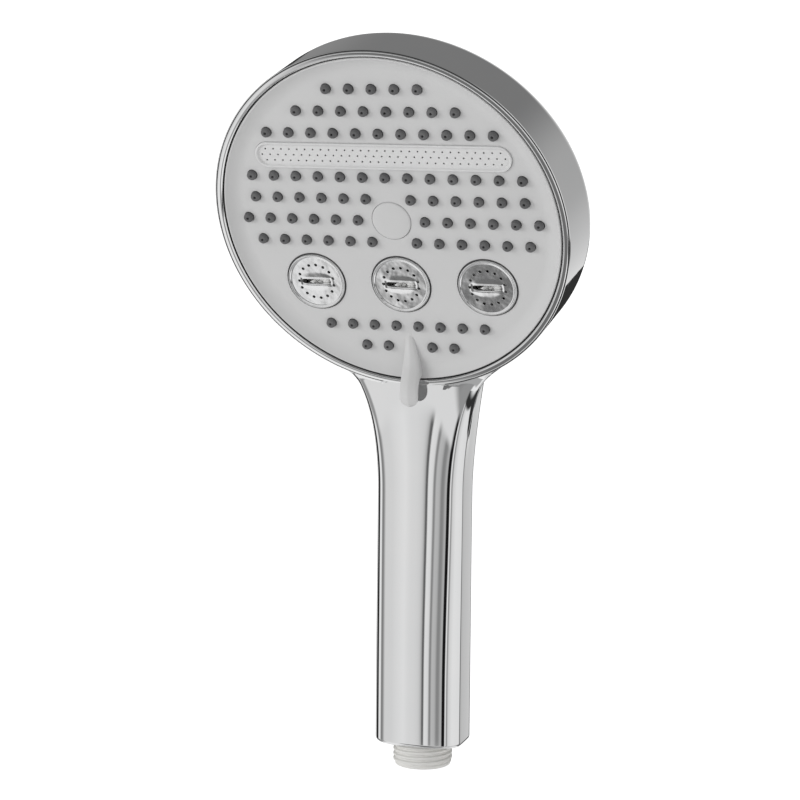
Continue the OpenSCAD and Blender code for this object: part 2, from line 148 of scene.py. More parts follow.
def moulded(name, dark, light, rough, grain=2600, specular=0.5, depth=0.00002):
    """Moulded plastic with a fine spark-eroded grain, faint flow clouding and uneven sheen."""
    mat, tree, bsdf = nodes_of(name)
    tree.links.new(ramp(tree, noise(tree, 35, 4), [(0.3, dark), (0.7, light)]), bsdf.inputs["Base Color"])
    tree.links.new(spread(tree, noise(tree, 120, 4), rough - 0.04, rough + 0.04), bsdf.inputs["Roughness"])
    bsdf.inputs["Specular IOR Level"].default_value = specular
    bump(tree, bsdf, noise(tree, grain, 2), 0.25, depth)
    return mat


def turned_metal(name, dark, light, rough):
    """Bare metal with fine turning lines."""
    mat, tree, bsdf = nodes_of(name)
    bsdf.inputs["Metallic"].default_value = 1.0
    lines = noise(tree, 900, 3, 0.6, (0.05, 1.0, 1.0))
    tree.links.new(ramp(tree, lines, [(0.3, dark), (0.7, light)]), bsdf.inputs["Base Color"])
    tree.links.new(spread(tree, lines, rough - 0.06, rough + 0.08), bsdf.inputs["Roughness"])
    bump(tree, bsdf, lines, 0.15, 0.00003)
    return mat


MATERIALS = {
    "chrome": chrome("chrome", 0.02, 0.045),
    "chrome_satin": chrome("chrome_satin", 0.08, 0.15, 0.00014, 200, 0.5),
    "face_plastic": moulded("face_plastic", (0.54, 0.54, 0.54), (0.56, 0.56, 0.56), 0.42),
    "mist_plastic": moulded("mist_plastic", (0.60, 0.60, 0.60), (0.63, 0.63, 0.63), 0.38),
    "nozzle_rubber": moulded("nozzle_rubber", (0.095, 0.095, 0.097), (0.13, 0.13, 0.132), 0.5, 2800, 0.4, 0.00006),
    "inlet_plastic": moulded("inlet_plastic", (0.63, 0.625, 0.60), (0.68, 0.675, 0.655), 0.45, 1800),
    "inner_plastic": moulded("inner_plastic", (0.66, 0.66, 0.63), (0.70, 0.70, 0.68), 0.5, 1500),
    "turbine_plastic": moulded("turbine_plastic", (0.74, 0.74, 0.73), (0.80, 0.80, 0.79), 0.3, 1500),
    "green_plastic": moulded("green_plastic", (0.05, 0.20, 0.08), (0.07, 0.25, 0.10), 0.45, 1500),
    "seal_rubber": moulded("seal_rubber", (0.015, 0.015, 0.015), (0.03, 0.03, 0.03), 0.6, 2500, 0.3),
    "brass": turned_metal("brass", (0.62, 0.46, 0.2), (0.72, 0.56, 0.28), 0.3),
    "steel": turned_metal("steel", (0.5, 0.5, 0.51), (0.62, 0.62, 0.63), 0.3),
}


# ---------------------------------------------------------------- mesh helpers

WELD = 1e-4  # points closer than this are one point


def mesh_object(name, verts, faces):
    """A new object in the scene from points and faces."""
    data = bpy.data.meshes.new(name)
    data.from_pydata([tuple(v) for v in np.asarray(verts, float)], [], [tuple(int(i) for i in f) for f in faces])
    obj = bpy.data.objects.new(name, data)
    bpy.context.scene.collection.objects.link(obj)
    return obj


def clean(obj):
    """Welds doubled points and turns the faces outwards."""
    bm = bmesh.new()
    bm.from_mesh(obj.data)
    bmesh.ops.remove_doubles(bm, verts=bm.verts, dist=WELD)
    bmesh.ops.recalc_face_normals(bm, faces=bm.faces)
    bm.to_mesh(obj.data)
    bm.free()
    return obj


def tube(rings, closed=False):
    """Points and faces of a skin through rings of equal numbers of points; its ends are capped or joined."""
    rings = np.asarray(rings, float)
    m, n = rings.shape[:2]
    faces = [(j * n + i, j * n + (i + 1) % n, (j + 1) % m * n + (i + 1) % n, (j + 1) % m * n + i)
             for j in range(m if closed else m - 1) for i in range(n)]
    if not closed:
        faces += [tuple(range(n))[::-1], tuple(range((m - 1) * n, m * n))]
    return rings.reshape(-1, 3), faces


def filleted(points, steps=5):
    """A polygon of (x, y, rounding) with its corners rounded, as a list of (x, y)."""
    out = []
    n = len(points)
    for i, (x, y, r) in enumerate(points):
        here = np.array([x, y])
        before = np.array(points[i - 1][:2]) - here
        after = np.array(points[(i + 1) % n][:2]) - here
        if r <= 0:
            out.append(here)
            continue
        lb, la = np.linalg.norm(before), np.linalg.norm(after)
        before, after = before / lb, after / la
        half = math.acos(max(-1, min(1, before @ after))) / 2
        reach = min(r / math.tan(half), 0.49 * lb, 0.49 * la)
        r = reach * math.tan(half)
        middle = here + (before + after) / np.linalg.norm(before + after) * (r / math.sin(half))
        start, stop = here + before * reach - middle, here + after * reach - middle
        a0 = math.atan2(start[1], start[0])
        da = (math.atan2(stop[1], stop[0]) - a0 + math.pi) % (2 * math.pi) - math.pi
        out += [middle + r * np.array([math.cos(a0 + da * k / steps), math.sin(a0 + da * k / steps)])
                for k in range(steps + 1)]
    return out


def lathe(name, profile, segments=160, centre=(0, 0)):
    """A closed solid turned about the face's axis, from an outline of (radius, height)."""
    a = np.arange(segments) * 2 * math.pi / segments
    rings = [np.stack([centre[0] + r * np.cos(a), centre[1] + r * np.sin(a), np.full(segments, z)], 1)
             for r, z in profile]
    ring_shaped = min(r for r, z in profile) > 0
    return clean(mesh_object(name, *tube(rings, closed=ring_shaped)))


def prism(name, outline, low, high):
    """An upright solid with a flat outline."""
    ring = np.asarray([(x, y, 0) for x, y in outline], float)
    return clean(mesh_object(name, *tube([ring + (0, 0, low), ring + (0, 0, high)])))


def stadium(half_length, radius, y, steps=24):
    """An outline with straight sides and half-round ends, its middle at (0, y)."""
    a = np.linspace(-math.pi / 2, math.pi / 2, steps)
    right = [(half_length - radius + radius * math.cos(t), y + radius * math.sin(t)) for t in a]
    return right + [(-x, 2 * y - yy) for x, yy in right]


def joined(name, parts):
    """One object from several, their meshes side by side."""
    bm = bmesh.new()
    for part in parts:
        bm.from_mesh(part.data)
        bpy.data.objects.remove(part)
    data = bpy.data.meshes.new(name)
    bm.to_mesh(data)
    bm.free()
    obj = bpy.data.objects.new(name, data)
    bpy.context.scene.collection.objects.link(obj)
    return obj


def carve(obj, tool, operation="DIFFERENCE"):
    """Applies a boolean with another object, which is used up."""
    modifier = obj.modifiers.new("carve", "BOOLEAN")
    modifier.operation, modifier.solver, modifier.object = operation, "MANIFOLD", tool
    data = bpy.data.meshes.new_from_object(obj.evaluated_get(bpy.context.evaluated_depsgraph_get()))
    obj.modifiers.clear()
    obj.data = data
    bpy.data.objects.remove(tool)
    if not data.polygons:
        raise RuntimeError(f"nothing is left of {obj.name}")


def dress(obj, material):
    """Gives a piece one material in place of those it has."""
    obj.data.materials.clear()
    obj.data.materials.append(MATERIALS[material])


def place(obj, body, slot, replaced=(), in_face=True, sharp=32):
    """Puts a finished mesh into the row frame in metres, shades it, and lets it ride."""
    obj.data.transform(face_matrix(MM) if in_face else Matrix.Scale(MM, 4))
    dress(obj, slot)
    for polygon in obj.data.polygons:
        polygon.material_index = 0
    obj.data.shade_smooth()
    obj.data.set_sharp_from_angle(angle=math.radians(sharp))
    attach(obj, body)
    if replaced:
        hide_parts(*replaced)


# ---------------------------------------------------------------- housing

# The head, in the face's frame: its wall meets a back with a rounded edge, which is tilted and a little lower
WALL_R = 62.85
TUBE_R, BACK_DEPTH, BACK_TILT, BACK_DROP = 9.2, 21.3, math.radians(2.8), 2.7
MAJOR_R = WALL_R - TUBE_R
# The handle, in the row frame: a squarish oval with half axes A and B, cut flat at the sides, from Z0 up to TOP
GRIP_A, GRIP_B, GRIP_FLAT, GRIP_Z0, GRIP_TOP = 16.6, 12.3, 15.8, 8.4, 150.0
EDGE, POWER = 1.4, 2.7  # rounding of its lower edge; exponent of the oval
SIDE_BLEND, TOP_BLEND = 0.35, 5.0  # soft corners beside the flat sides and at the top, which runs into the head


def smoothstep(t):
    """0 below 0, 1 above 1, smooth between."""
    t = np.clip(t, 0, 1)
    return t * t * (3 - 2 * t)


def widening(y, z):
    """How much wider the handle's section is than its plain grip: its front flares more than its back."""
    front = 15.5 * (np.maximum(0, z - 95) / 50) ** 2.6
    back = 5.5 * (np.maximum(0, z - 100) / 50) ** 1.6
    share = smoothstep((y + 12) / 12)  # 0 at the front, 1 from the middle back
    return 1 + (front * (1 - share) + back * share) / (GRIP_FLAT - 0.9)


def inset(z):
    """How far the section draws in at the rounded lower edge."""
    t = np.clip(GRIP_Z0 + EDGE - z, 0, EDGE)
    return EDGE - np.sqrt(EDGE ** 2 - t ** 2)


def depth_of(y, z):
    """The section's half depth: the back runs out under the head, the front dips and sweeps forward to the ring."""
    dip = 1.6 * smoothstep((z - 30) / 80) * (1 - (np.clip(z - 112, 0, 26) / 26) ** 2)
    return GRIP_B - inset(z) + np.where(y > 0, 4.3 * smoothstep((z - 85) / 66), -dip)


def flat_line(y, z):
    """Half width at the flat side, which bulges a little and leans towards the back."""
    return GRIP_FLAT - inset(z) - 0.05 * (y + 4) - 0.0022 * (y + 4) ** 2


def soft_max(a, b, k):
    """The larger of two distances, rounded where they differ by less than k."""
    h = np.clip(0.5 + 0.5 * (a - b) / k, 0, 1)
    return a * h + b * (1 - h) + k * h * (1 - h)


def grip_value(p):
    """Below 0 inside the handle, in about mm."""
    x, y, z = p[:, 0], p[:, 1], p[:, 2]
    wide = np.abs(x) / widening(y, z)
    b = depth_of(y, z)
    a = GRIP_A - inset(z)
    oval = (((wide / a) ** POWER + (np.abs(y) / b) ** POWER) ** (1 / POWER) - 1) * b
    return soft_max(soft_max(wide - flat_line(y, z), oval, SIDE_BLEND), z - GRIP_TOP, TOP_BLEND)


def back_frame(angle):
    """The back rounding's centre and its outward direction at an angle about the face's axis."""
    e = np.stack([np.cos(angle), np.sin(angle) * math.cos(BACK_TILT), np.sin(angle) * math.sin(BACK_TILT)], -1)
    return np.array([0, -BACK_DROP, -BACK_DEPTH]) + MAJOR_R * e, e


BACK_AXIS = np.array([0, -math.sin(BACK_TILT), math.cos(BACK_TILT)])


def wall_line(angle):
    """Front edge of the wall, and the direction on the back rounding where the straight wall touches it."""
    centre, e = back_frame(angle)
    around = np.arctan2(centre[..., 1], centre[..., 0])
    r = WALL_R - 0.08
    front = np.stack([r * np.cos(around), r * np.sin(around), np.full_like(around, -0.5)], -1)
    u = ((front - centre) * e).sum(-1)
    v = (front - centre) @ BACK_AXIS
    touch = np.arctan2(v, u) - np.arccos(TUBE_R / np.hypot(u, v))
    return centre, e, front, touch


def head_value(p):
    """Signed distance from the head's wall and back, below 0 inside."""
    q = to_face(p)
    rel = q - np.array([0, -BACK_DROP, -BACK_DEPTH])
    flat_y = rel[:, 1] * math.cos(BACK_TILT) + rel[:, 2] * math.sin(BACK_TILT)
    angle = np.arctan2(flat_y, rel[:, 0])
    centre, e, front, touch = wall_line(angle)
    u = ((q - centre) * e).sum(-1)
    v = (q - centre) @ BACK_AXIS
    round_back = np.hypot(np.maximum(u, 0), v) - TUBE_R
    wall = u * np.cos(touch) + v * np.sin(touch) - TUBE_R
    return np.where((np.arctan2(v, u) > touch) & (u > 0), wall, np.where(v < 0, round_back, wall))


def gradient(f, p, h=0.02):
    """Slope of f at points p, from differences over h mm."""
    g = np.empty_like(p)
    for i in range(3):
        step = np.zeros(3)
        step[i] = h
        g[:, i] = (f(p + step) - f(p - step)) / (2 * h)
    return g


def shell_value(p):
    """The housing's outside: head and handle run into each other with a soft inner corner of a size k."""
    grip = grip_value(p)
    head = head_value(p)
    depth = -to_face(p)[:, 2]
    sideways = smoothstep((np.abs(p[:, 0]) - 9) / 9) * smoothstep((depth - 0.6) / 3)
    behind = smoothstep((p[:, 1] + 8) / 14)
    k = (0.8 + 4.6 * np.maximum(sideways, smoothstep((depth - 5) / 12))) * (1 - 0.85 * behind)
    h = np.clip(0.5 + 0.5 * (head - grip) / k, 0, 1)
    return head * (1 - h) + grip * h - k * h * (1 - h)


def settle(f, p, rounds=4):
    """Moves points onto the surface f = 0."""
    p = p.copy()
    for _ in range(rounds):
        g = gradient(f, p)
        p -= g * (f(p) / np.maximum((g * g).sum(1), 1e-6))[:, None]
    return p


def grip_ring(z, front=26, side=12, back=26):
    """One section of the handle, with points set evenly along its arcs and its flat sides."""
    b_front, b_back = (float(depth_of(np.array([side_y]), np.array([z]))[0]) for side_y in (-1.0, 1.0))
    a = GRIP_A - inset(z)

    def oval_x(y, b):
        return a * max(0.0, 1 - (abs(y) / b) ** POWER) ** (1 / POWER)

    def crease(b, sign):
        low, high = 0.0, b
        for _ in range(40):
            mid = (low + high) / 2
            low, high = (mid, high) if oval_x(mid, b) > flat_line(sign * mid, z) else (low, mid)
        return sign * low

    def arc(y0, y1, b, count):
        """From the crease at y0 to the middle line at y1, evenly spaced."""
        t0 = math.asin(min(1, (abs(y0) / b) ** (POWER / 2)))
        t = np.linspace(t0, math.pi / 2, 300)
        pts = np.stack([a * np.cos(t) ** (2 / POWER), math.copysign(b, y1) * np.sin(t) ** (2 / POWER)], 1)
        run = np.r_[0, np.cumsum(np.linalg.norm(np.diff(pts, axis=0), axis=1))]
        at = np.linspace(0, run[-1], count + 1)
        return np.stack([np.interp(at, run, pts[:, 0]), np.interp(at, run, pts[:, 1])], 1)

    c_front, c_back = crease(b_front, -1), crease(b_back, 1)
    ys = np.r_[c_front + 0.3, np.linspace(c_front + 0.9, c_back - 0.9, side), c_back - 0.3]
    flat = [[flat_line(y, z), y] for y in ys]
    half = np.r_[arc(c_front, -1, b_front, front)[::-1], flat, arc(c_back, 1, b_back, back)]
    half[:, 0] *= widening(half[:, 1], np.full(len(half), z))
    other = half[1:-1][::-1] * (-1, 1)
    ring = np.r_[half, other]
    return np.c_[ring, np.full(len(ring), z)]


def grip_mesh():
    """The handle as a solid, up to its top inside the head."""
    levels = [GRIP_Z0 + EDGE * (1 - math.cos(math.radians(15 * k))) for k in range(7)]
    levels += list(np.arange(12, 92, 4)) + list(np.arange(92, 150.5, 1.5))
    return clean(mesh_object("grip", *tube([grip_ring(z) for z in levels])))


def head_mesh(columns=260):
    """The head as a solid: lip, straight wall, rounded edge and back."""
    angle = np.arange(columns) * 2 * math.pi / columns
    centre, e, front, touch = wall_line(angle)
    around = np.arctan2(front[:, 1], front[:, 0])
    r = WALL_R - 0.22
    lip = np.stack([r * np.cos(around), r * np.sin(around), np.full(columns, -0.36)], 1)

    def on_arc(beta):
        return centre + TUBE_R * (e * np.cos(beta)[:, None] + BACK_AXIS * np.sin(beta)[:, None])

    foot = on_arc(touch)
    rings = [lip * (0, 0, 1) + lip * (0.9, 0.9, 0), lip]
    rings += [front + (foot - front) * t for t in np.linspace(0, 1, 12)]
    rings += [on_arc(touch + (-math.pi / 2 - touch) * t) for t in np.linspace(0, 1, 15)[1:]]
    flat = rings[-1]
    middle = flat.mean(0)
    rings += [middle + (flat - middle) * t for t in np.linspace(1, 0.04, 26)[1:]]
    verts, faces = tube(rings)
    return clean(mesh_object("housing", to_row(verts), faces))


def hollow_outline(gap=0.0):
    """The handle's hollow in section, or what fits in it with a gap."""
    a, b, r = 13.2 - gap, 9.8 - gap, 6.0
    return filleted([(-a, -b, r), (a, -b, r), (a, b, r), (-a, b, r)], 12)


def bowl_tool():
    """What is cut out of the head: the bowl, and the stepped seat of the ring up to the lip."""
    profile = filleted([(0, -24, 0), (58.6, -24, 8), (58.6, -7.5, 0), (60.1, -7.5, 0), (60.1, -4.1, 0),
                        (61.05, -4.1, 0), (61.05, -1.3, 0), (61.5, -1.3, 0), (61.5, 10.8, 0), (0, 10.8, 0)], 10)
    tool = lathe("bowl", profile, 260)
    tool.data.transform(face_matrix())
    return tool


def outside_normals(obj, f):
    """Gives the corners on the surface f = 0 that surface's own normals, so that reflections run smoothly."""
    data = obj.data
    co = np.zeros(len(data.vertices) * 3)
    data.vertices.foreach_get("co", co)
    co = co.reshape(-1, 3)
    corners = np.zeros(len(data.loops), int)
    data.loops.foreach_get("vertex_index", corners)
    sizes = np.array([p.loop_total for p in data.polygons])
    owner = np.repeat(np.arange(len(sizes)), sizes)
    centres = np.array([p.center for p in data.polygons])
    flat = np.array([p.normal for p in data.polygons])
    normals = np.array([tuple(n.vector) for n in data.corner_normals])
    at = co[corners] * 0.98 + centres[owner] * 0.02
    g = gradient(f, at)
    length = np.linalg.norm(g, axis=1)
    g /= np.maximum(length, 1e-9)[:, None]
    near = (np.abs(f(co[corners])) < 0.05) & (np.abs(f(centres))[owner] < 0.4) & ((g * flat[owner]).sum(1) > 0.75)
    normals[near] = g[near]
    data.normals_split_custom_set([tuple(n) for n in normals])


def build_housing():
    """Head and handle in one, blended where they meet, then hollowed."""
    body = head_mesh()
    carve(body, grip_mesh(), "UNION")
    co = np.array([v.co for v in body.data.vertices], float)
    depth = -to_face(co)[:, 2]
    soft = (np.abs(head_value(co) - grip_value(co)) < 9) & (depth > 0.7)
    moved = settle(shell_value, co)
    moved = np.where((soft & (np.linalg.norm(moved - co, axis=1) < 4))[:, None], moved, co)
    body.data.vertices.foreach_set("co", moved.ravel())
    body.data.update()
    # the handle's front stays over the ring's lower edge, so only the rest of the seat is cut to its full width
    seat = lathe("seat", [(60, -1.3), (62.48, -1.3), (62.48, 0.05), (60, 0.05)], 260)
    seat.data.transform(face_matrix())
    carve(seat, grip_mesh())
    carve(body, seat)
    carve(body, bowl_tool())
    hollow = prism("hollow", hollow_outline(), GRIP_Z0 - 1, 152)
    block = prism("block", [(-40, -64), (40, -64), (40, 0), (-40, 0)], -6.5, 80)
    block.data.transform(face_matrix())
    carve(hollow, block)
    carve(body, hollow)
    body.data.shade_smooth()
    body.data.set_sharp_from_angle(angle=math.radians(35))
    outside_normals(body, shell_value)
    body.name = "housing_shell"
    body.data.transform(Matrix.Scale(MM, 4))
    dress(body, "chrome")
    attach(body, "handset")
    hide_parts("housing")


build_housing()


# ---------------------------------------------------------------- trim ring

def build_ring():
    """The bright ring, and dark rubber strips in the gaps on both its sides, which paint the seams' shade."""
    profile = filleted([(60.2, -4, 0.15), (60.2, -0.45, 0.25), (60.65, 0, 0.35), (61.9, 0, 0.3), (62.2, -0.28, 0.2),
                        (62.2, -1.12, 0.1), (61.0, -1.12, 0), (61.0, -4, 0.15)], 5)
    ring = lathe("trim_ring_bright", profile, 300)
    notch = grip_mesh()
    notch.data.transform(Matrix([(*FACE[i], -FACE[i] @ CENTRE) for i in range(3)] + [(0, 0, 0, 1)]))
    # the handle covers the ring's lower edge, outside the seat's own width
    carve(notch, lathe("inner", [(0, -40), (61.4, -40), (61.4, 40), (0, 40)], 260))
    carve(ring, notch)
    place(ring, "handset", "chrome", ["trim_ring"], sharp=40)
    # dark rubber strips fill the gaps beside the ring: painted shade for its seams
    for name, inner, outer, low, high in (("ring_shade_strip", 62.2, 62.48, -1.2, -0.55),
                                          ("face_shade_strip", 59.74, 60.18, -3.2, -1.15)):
        shade_strip = lathe(name, [(inner, low), (outer, low), (outer, high), (inner, high)], 200)
        place(shade_strip, "handset", "seal_rubber")


build_ring()


# ---------------------------------------------------------------- spray face

FIELD, PLATE_R, RIM_WIDTH = 2.5, 59.7, 5.8  # the plate's flat front lies this deep, and its rim curves up from it
PLATE_EDGE, PLATE_BACK = PLATE_R - 0.5, FIELD + 1.8
NOZZLE_R, CAP_R, JET_R, JET_DX, JET_Y, MIST_Y = 1.7, 6.9, 10.4, 31.0, -24.0, 23.65
PITCH = 8.0
# Rows of nozzles as (row, first, last), counted in pitches from the centre
NOZZLE_ROWS = [(6, -2, 2), (5, -3.5, 3.5), (4, -5, 5), (2, -6, 6), (1, -6, -1), (1, 1, 6), (0, -6.5, -1.5),
               (0, 1.5, 6.5), (-1, -6, -1), (-1, 1, 6), (-5, -3.5, 3.5), (-6, -2, -1), (-6, 1, 2)]
NOZZLES = [(x * PITCH, row * PITCH) for row, first, last in NOZZLE_ROWS for x in np.arange(first, last + 0.1)]
JETS = {"left": -JET_DX, "middle": 0.0, "right": JET_DX}


def field_height(r):
    """Height of the faceplate's front at a radius: flat, then curving up to the rim."""
    t = np.clip((r - (PLATE_EDGE - RIM_WIDTH)) / RIM_WIDTH, 0, 1)
    return -FIELD + (FIELD - 0.5) * t ** 2.2


# The lever by distance below the face's centre: heights of its ridge and of its underside, and half its width
LEVER_TOP = [(43.5, -2.55), (45, -1.65), (48, -0.95), (51.5, 0.05), (54.3, 1.5), (56.8, 3.5), (58.6, 5.0),
             (60.4, 6.25), (62.4, 7.1), (64.4, 7.45), (66.0, 7.4), (66.6, 7.15), (66.9, 6.7)]
LEVER_LOW = [(43.5, -3.6), (58.2, -3.6), (58.4, -0.2), (58.7, 1.5), (59.6, 3.1), (61, 4.4), (62.8, 5.4),
             (64.6, 5.9), (66.6, 6.1), (66.9, 6.4)]
LEVER_HALF = [(43.5, 1.3), (45, 1.7), (48, 2.1), (51.6, 2.55), (54.3, 3.0), (57, 3.2), (63.6, 3.3)]
LEVER_TIP, LEVER_R = 63.6, 3.3  # where its round end begins, and that end's radius


def lever_section(y, steps=7):
    """One section of the lever across the face's up direction, as points (x, y, z)."""
    top, low, half = (float(np.interp(-y, *zip(*line))) for line in (LEVER_TOP, LEVER_LOW, LEVER_HALF))
    if -y > LEVER_TIP:
        half = math.sqrt(max(0.1, LEVER_R ** 2 - (-y - LEVER_TIP) ** 2))
    crown = min(0.38 * half, 0.55 * (top - low))
    edge = min(0.55, 0.4 * (top - crown - low), 0.5 * half)
    # up the side, round its upper corner, then over the top to the ridge
    right = [(0.0, low)] + [(half, low + (top - crown - edge - low) * t) for t in np.linspace(0, 1, 4)]
    right += [(half - edge * (1 - math.cos(q)), top - crown - edge + edge * math.sin(q)) for q in (0.4, 0.8, 1.2)]
    right += [((half - edge) * t, top - crown * ((half - edge) * t / half) ** 1.3)
              for t in np.linspace(1, 0, steps)]
    left = [(-x, z) for x, z in right[1:-1]][::-1]
    return [(x, y, z) for x, z in right + left]


def build_faceplate():
    """The grey plate with its lever, and with openings for all that shows through it."""
    radii = np.linspace(PLATE_EDGE - RIM_WIDTH, PLATE_EDGE, 16)
    profile = [(0, -PLATE_BACK), (0, -FIELD)] + [(r, -FIELD) for r in (20, 40)]
    profile += [(r, float(field_height(r))) for r in radii]
    profile += [(PLATE_R - 0.2, -0.52), (PLATE_R - 0.04, -0.7), (PLATE_R, -0.95), (PLATE_R, -6.5),
                (PLATE_R - 1.6, -6.5), (PLATE_R - 1.6, -PLATE_BACK)]
    plate = lathe("faceplate_moulded", profile, 240)
    tools = [lathe("t", [(0, -6), (NOZZLE_R + 0.06, -6), (NOZZLE_R + 0.06, -FIELD - 0.12), (NOZZLE_R + 0.16, -FIELD),
                         (NOZZLE_R + 0.2, -FIELD + 0.1), (NOZZLE_R + 0.2, 0), (0, 0)], 28, p) for p in NOZZLES]
    tools += [lathe("t", [(0, -6), (JET_R + 0.42, -6), (JET_R + 0.42, -FIELD - 0.06), (JET_R + 0.48, -FIELD),
                          (JET_R + 0.48, 0), (0, 0)], 96, (x, JET_Y)) for x in JETS.values()]
    tools += [lathe("t", [(0, -6), (CAP_R + 0.1, -6), (CAP_R + 0.1, -FIELD - 0.1), (CAP_R + 0.2, -FIELD),
                          (CAP_R + 0.2, 0), (0, 0)], 96)]
    tools += [prism("t", stadium(45.5, 4.75, MIST_Y), -6, 0)]
    carve(plate, joined("tools", tools))
    below = [*np.arange(43.5, 58.1, 0.5), 58.2, 58.4, 58.7, *np.arange(59.1, 66, 0.5), 66.2, 66.5, 66.7, 66.85]
    carve(plate, clean(mesh_object("lever", *tube([lever_section(-y) for y in below]))), "UNION")
    place(plate, "spray_face", "face_plastic", ["faceplate"], sharp=38)


build_faceplate()


def build_nozzles():
    """The soft sheet behind the plate, with its nozzles standing through it."""
    back = -PLATE_BACK - 1
    profile = [(0.4, back), (NOZZLE_R, back)]
    profile += [(r, -FIELD + z) for r, z in ((1.56, -0.3), (1.58, 0.0), (1.66, 0.35), (1.69, 0.62), (1.64, 0.95),
                                             (1.52, 1.27), (1.32, 1.5), (1.04, 1.64), (0.75, 1.7), (0.5, 1.67),
                                             (0.4, 1.5))]
    front = -PLATE_BACK - 0.05
    sheet = lathe("nozzle_mat_soft", [(0, back), (57.8, back), (57.8, front), (0, front)], 120)
    tools = [lathe("t", [(0, -7), (1.65, -7), (1.65, -4), (0, -4)], 24, p) for p in NOZZLES]
    inner = JET_R - 0.05
    tools += [lathe("t", [(0, -7), (inner, -7), (inner, -4), (0, -4)], 64, (x, JET_Y)) for x in JETS.values()]
    tools += [lathe("t", [(0, -7), (CAP_R + 0.3, -7), (CAP_R + 0.3, -4), (0, -4)], 64)]
    tools += [prism("t", stadium(45.7, 4.95, MIST_Y), -7, -4)]
    carve(sheet, joined("tools", tools))
    # a lip of the same soft sheet seals each massage jet in the plate; raised close under the gap round each jet, its
    # dark rubber also paints that gap's shade
    lip = [(inner, -5), (JET_R + 0.4, -5), (JET_R + 0.4, -3.1), (inner, -3.1)]
    cones = [lathe("n", profile, 36, p) for p in NOZZLES]
    cones += [lathe("n", lip, 64, (x, JET_Y)) for x in JETS.values()]
    carve(sheet, joined("cones", cones), "UNION")
    place(sheet, "spray_face", "nozzle_rubber", ["nozzle_mat"], sharp=50)


build_nozzles()


def build_mist():
    """The stadium-shaped insert with three rows of fine holes."""
    top, low = -FIELD + 0.62, -FIELD - 0.05
    # the raised border as nested outlines from outside in, then the sunk field
    steps = [(0.0, -6.0), (0.0, top - 0.32), (0.06, top - 0.12), (0.2, top - 0.02), (0.4, top), (0.6, top - 0.03),
             (0.78, top - 0.16), (0.92, low + 0.1), (1.05, low), (1.3, low)]
    rings = [[(x, y, z) for x, y in stadium(45.4 - d, 4.65 - d, MIST_Y)] for d, z in steps]
    insert = clean(mesh_object("mist_insert_border", *tube(rings)))
    along, apart = 2.87, 2.05
    holes = [((i + shift) * along, MIST_Y + apart * j) for j, shift, n in ((-1, 0.5, 30), (0, 0, 31), (1, 0.5, 30))
             for i in range(-15, n - 15)]
    hole = [(0, -9), (0.32, -9), (0.32, low - 0.08), (0.4, low + 0.02), (0.4, 0), (0, 0)]
    carve(insert, joined("tools", [lathe("t", hole, 16, p) for p in holes]))
    place(insert, "spray_face", "mist_plastic", ["mist_insert"], sharp=38)


build_mist()


JET_FLOOR, JET_BACK, JET_SKIRT = -FIELD + 0.3, -FIELD - 0.6, -4.65  # heights of its dish, its underside, its edge
RIM_R, AROUND = 10.32, 128
RIM = [(0, 0), (9.2, 0), (9.4, 0.07), (9.6, 0.25), (9.78, 0.34), (9.95, 0.37), (10.1, 0.34), (10.22, 0.2),
       (RIM_R, -0.1)]
SWELL = 0.14


def jet_height(x, y):
    """Front of a massage jet: a rim, a shallow dish, and an eye-shaped swelling round the slot."""
    rim = np.interp(np.hypot(x, y), *zip(*RIM))
    reach = 3.7 * np.sqrt(np.clip(1 - (x / 6.8) ** 2, 0, 1))
    beside, within = np.abs(y), np.abs(x)
    swell = SWELL * (1 - smoothstep((beside - 1.0) / np.maximum(reach - 1.0, 0.6))) * smoothstep((6.6 - within) / 3)
    return JET_FLOOR + rim + swell - SWELL * smoothstep((1.6 - beside) / 0.6) * smoothstep((5.9 - within) / 0.8)


def build_jet(side):
    """A satin chromed cup with a ring of small jets round a slot that shows the bladed wheel."""
    a = np.arange(AROUND) * 2 * math.pi / AROUND
    rings = []
    for r in (*np.linspace(0.02, 8.2, 46), 8.6, 9.0, 9.2, 9.35, 9.5, 9.62, 9.75, 9.85, 9.95, 10.03, 10.1, 10.16,
              10.22, 10.27, RIM_R):
        x, y = r * np.cos(a), r * np.sin(a)
        rings.append(np.stack([x, y, jet_height(x, y)], 1))
    for r, z in ((RIM_R, JET_SKIRT), (9.3, JET_SKIRT), (9.3, JET_BACK), (0.02, JET_BACK)):
        rings.append(np.stack([r * np.cos(a), r * np.sin(a), np.full(AROUND, z)], 1))
    cup = clean(mesh_object(f"massage_jet_{side}", *tube(rings)))
    hole = [(0, -9), (0.5, -9), (0.5, JET_FLOOR - 0.1), (0.6, JET_FLOOR + 0.05), (0.6, 0), (0, 0)]
    circle, count = 6.35, 15
    angles = [math.radians(360 // count * k + 12) for k in range(count)]
    carve(cup, joined("tools", [lathe("t", hole, 20, (circle * math.cos(t), circle * math.sin(t))) for t in angles]))
    carve(cup, prism("slot", stadium(5.3, 0.85, 0, 12), JET_BACK - 1, 2))
    cup.data.transform(Matrix.Translation((JETS[side], JET_Y, 0)))
    place(cup, "spray_face", "chrome", [f"massage_insert_{side}"], sharp=40)
    cup.data.materials[0] = MATERIALS["chrome_satin"]


